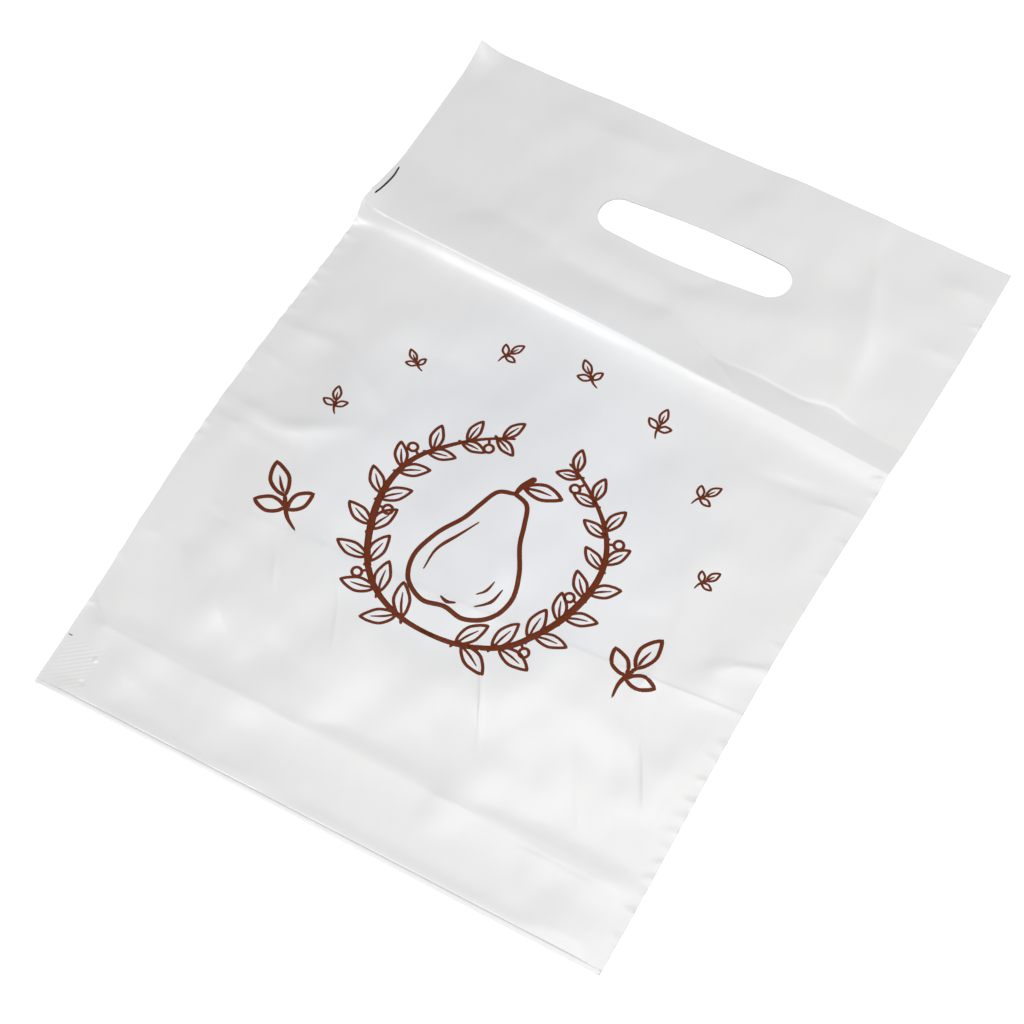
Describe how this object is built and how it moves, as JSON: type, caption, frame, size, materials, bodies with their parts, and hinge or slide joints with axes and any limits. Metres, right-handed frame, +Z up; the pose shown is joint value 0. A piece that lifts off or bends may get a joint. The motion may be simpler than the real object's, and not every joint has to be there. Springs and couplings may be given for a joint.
{
  "type": "plastic carrier bag",
  "caption": "Flat carrier bag of thin white film lying on its back panel, with a punched handle slot, welded sides, a bottom gusset folded inwards and an open mouth.",
  "frame": {"origin": "under the middle of the bag, on the surface that it lies on", "axes": "+X across the bag to the right as its printed front is read, +Y from the bottom fold to the mouth, +Z up from the surface"},
  "size_m": [0.25, 0.35, 0.0094],
  "materials": {
    "film": "opaque white polyethylene film, satin, with soft creases",
    "print_ink": "brown line print, satin"
  },
  "bodies": {
    "root": {"carrier_bag": "film"}
  },
  "joints": []
}
